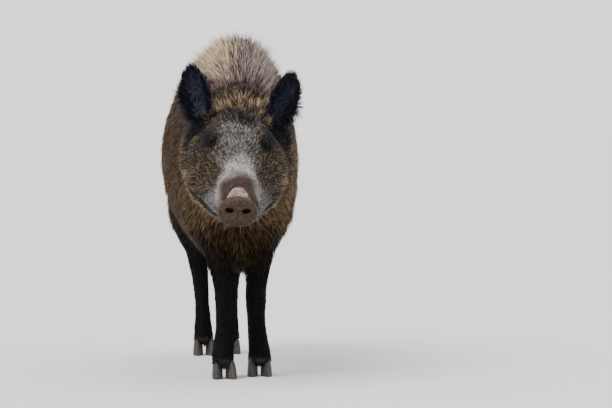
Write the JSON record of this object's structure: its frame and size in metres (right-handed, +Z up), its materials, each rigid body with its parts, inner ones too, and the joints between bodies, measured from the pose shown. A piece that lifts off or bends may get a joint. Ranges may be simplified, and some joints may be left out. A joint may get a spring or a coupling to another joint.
{
  "type": "wild boar",
  "caption": "Life-size still model of a standing wild boar with upright ears, a bristly mane and a closed mouth, its head turned slightly aside.",
  "frame": {"origin": "middle of the animal's box, on the floor under its feet", "axes": "+Z up, the animal faces -Y, its left side is +X"},
  "size_m": [0.3128, 1.3292, 0.7979],
  "materials": {
    "body_coat": "coarse bristles, dark at the root with straw and beige tips",
    "face_coat": "short grizzled hair, pale grey beside the nose and on the lips",
    "black_coat": "short black hair with a faint blue sheen",
    "bare_skin": "bare brown skin, slightly moist",
    "eye": "dark brown, wet",
    "horn": "grey-brown horn, dusty and lightly worn"
  },
  "bodies": {
    "root": {"nose_disc": "bare_skin", "lower_jaw": "face_coat", "head": "face_coat", "neck": "body_coat", "chest": "body_coat", "belly": "body_coat", "rump": "body_coat", "eye_left": "eye", "ear_left": "black_coat", "eye_right": "eye", "ear_right": "black_coat", "tail": "body_coat", "tail_tuft": "black_coat", "foreleg_left_claw_outer": "horn", "foreleg_left_dewclaw_outer": "horn", "foreleg_left_claw_inner": "horn", "foreleg_left_dewclaw_inner": "horn", "foreleg_left_upper": "body_coat", "foreleg_left_lower": "black_coat", "foreleg_left_foot": "black_coat", "foreleg_right_claw_outer": "horn", "foreleg_right_dewclaw_outer": "horn", "foreleg_right_claw_inner": "horn", "foreleg_right_dewclaw_inner": "horn", "foreleg_right_upper": "body_coat", "foreleg_right_lower": "black_coat", "foreleg_right_foot": "black_coat", "hindleg_left_claw_outer": "horn", "hindleg_left_dewclaw_outer": "horn", "hindleg_left_claw_inner": "horn", "hindleg_left_dewclaw_inner": "horn", "hindleg_left_upper": "body_coat", "hindleg_left_lower": "black_coat", "hindleg_left_foot": "black_coat", "hindleg_right_claw_outer": "horn", "hindleg_right_dewclaw_outer": "horn", "hindleg_right_claw_inner": "horn", "hindleg_right_dewclaw_inner": "horn", "hindleg_right_upper": "body_coat", "hindleg_right_lower": "black_coat", "hindleg_right_foot": "black_coat"}
  },
  "joints": []
}
